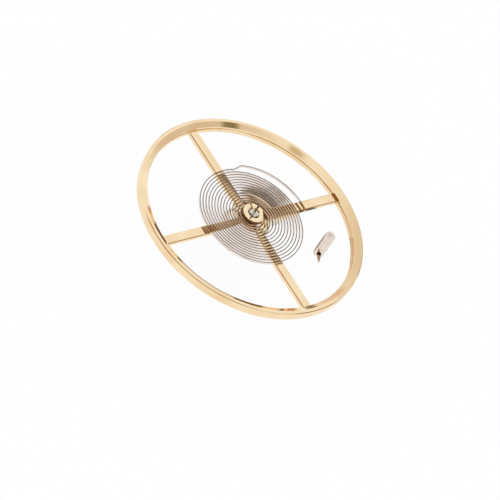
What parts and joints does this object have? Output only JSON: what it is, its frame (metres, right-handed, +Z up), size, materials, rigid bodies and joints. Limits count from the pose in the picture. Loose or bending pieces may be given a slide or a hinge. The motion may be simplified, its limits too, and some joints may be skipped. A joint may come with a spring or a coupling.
{
  "type": "balance wheel",
  "caption": "Gilt watch balance wheel with crossed arms on its staff, with double roller, flat spiral hairspring on a split collet, and the loose hairspring stud with its pin.",
  "frame": {"origin": "tip of the lower pivot, on the staff's axis", "axes": "+Z up the staff from the roller side to the hairspring side, +X and +Y along two neighbouring arms of the wheel"},
  "size_m": [0.0096, 0.0096, 0.003],
  "materials": {
    "gilt_alloy": "pale gilt, lathe-turned rim and polished flat arms",
    "staff_steel": "polished hardened steel",
    "roller_steel": "fine turned steel",
    "ruby": "polished synthetic ruby",
    "collet_brass": "polished gilt brass",
    "pin_brass": "drawn brass with a copper tone",
    "spring_alloy": "rolled bright strip",
    "stud_steel": "plated, smooth turned"
  },
  "bodies": {
    "stud": {"stud": "stud_steel", "stud_pin": "pin_brass"},
    "collet": {"collet": "collet_brass", "collet_pin": "pin_brass", "hairspring": "spring_alloy"},
    "balance": {"balance_wheel": "gilt_alloy", "balance_staff": "staff_steel", "double_roller": "roller_steel", "impulse_jewel": "ruby"}
  },
  "joints": [
    {"name": "balance_swing", "type": "hinge", "parent": "stud", "child": "collet", "pos_m": [0, 0, 0], "axis": [0, 0, 1], "range_deg": [-300, 300], "stiffness_Nm_per_rad": 0.00000027, "deforming": ["hairspring"]},
    {"name": "beat_setting", "type": "hinge", "parent": "collet", "child": "balance", "pos_m": [0, 0, 0], "axis": [0, 0, 1], "continuous": true}
  ]
}
